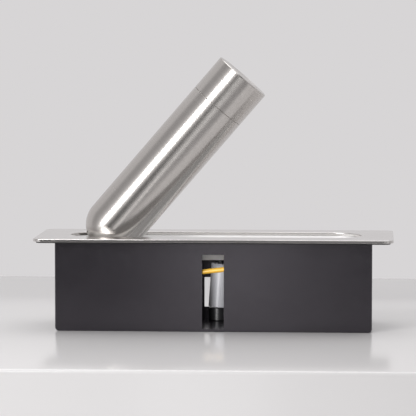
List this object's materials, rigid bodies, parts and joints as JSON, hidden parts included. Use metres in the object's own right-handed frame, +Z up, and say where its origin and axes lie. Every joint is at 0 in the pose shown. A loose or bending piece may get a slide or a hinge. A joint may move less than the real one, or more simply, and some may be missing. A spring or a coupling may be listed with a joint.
{
  "type": "recessed desk power unit",
  "caption": "Recessed desk power unit: a round stainless tube with earthed sockets tilts up on a friction hinge out of a dark sheet-metal tray under a worktop plate.",
  "frame": {"origin": "middle of the bounding box's base, which is the middle of the tray's underside", "axes": "+Z up, out of the worktop; +X along the opening towards the tube's free end; +Y the side that the sockets face"},
  "size_m": [0.363, 0.13, 0.2756],
  "materials": {
    "plate_stainless": "satin brushed, lightly reflective",
    "tube_stainless": "fine turned brushing around the tube",
    "anthracite_sheet": "satin anthracite powder coat",
    "black_plastic": "fine moulded texture",
    "grey_sleeve": "smooth",
    "black_rubber": "matte",
    "zinc_steel": "zinc plated",
    "contact_brass": "bright",
    "bearing_bronze": "dull",
    "friction_fibre": "dull",
    "earth_sheath": "smooth",
    "ivory_plastic": "smooth"
  },
  "bodies": {
    "tray": {"bezel_plate": "plate_stainless", "plate_gasket": "black_rubber", "opening_collar": "plate_stainless", "housing_tray": "anthracite_sheet", "plate_nut_1": "zinc_steel", "plate_nut_2": "zinc_steel", "plate_nut_3": "zinc_steel", "plate_nut_4": "zinc_steel", "pivot_bracket_front": "zinc_steel", "pivot_bracket_rear": "zinc_steel", "stop_rod": "zinc_steel", "pivot_shaft": "zinc_steel", "friction_washer_front": "friction_fibre", "friction_washer_rear": "friction_fibre", "disc_spring": "zinc_steel", "shaft_washer": "zinc_steel", "shaft_nut": "zinc_steel", "bracket_screw_1": "zinc_steel", "bracket_screw_2": "zinc_steel", "bracket_screw_3": "zinc_steel", "bracket_screw_4": "zinc_steel", "rest_saddle": "zinc_steel", "rest_pad": "black_rubber", "saddle_screw_1": "zinc_steel", "saddle_screw_2": "zinc_steel", "terminal_box": "black_plastic", "terminal_cover": "black_plastic", "cover_screw_1": "zinc_steel", "cover_screw_2": "zinc_steel", "terminal_block": "ivory_plastic", "supply_gland": "black_plastic", "gland_nut": "black_plastic", "riser_elbow": "black_plastic", "riser_sleeve": "grey_sleeve", "tube_lead": "black_plastic", "lead_clip": "black_plastic", "earth_wire": "earth_sheath", "earth_ring_bracket": "zinc_steel", "earth_ring_plate": "zinc_steel"},
    "tube": {"tube_shell": "tube_stainless", "end_cap": "tube_stainless", "end_disc": "tube_stainless", "socket_carrier": "black_plastic", "socket_cup_1": "black_plastic", "socket_cup_2": "black_plastic", "socket_cup_3": "black_plastic", "live_strip": "contact_brass", "neutral_strip": "contact_brass", "earth_strip": "contact_brass", "strip_base": "black_plastic", "pivot_arm": "zinc_steel", "arm_ring_nut": "zinc_steel", "pivot_bush_front": "bearing_bronze", "pivot_bush_rear": "bearing_bronze", "carrier_screw_1": "zinc_steel", "carrier_screw_2": "zinc_steel"}
  },
  "joints": [
    {"name": "tube_tilt", "type": "hinge", "parent": "tray", "child": "tube", "pos_m": [-0.139, 0, 0.0632], "axis": [0, 1, 0], "range_deg": [0, 49.2]}
  ]
}
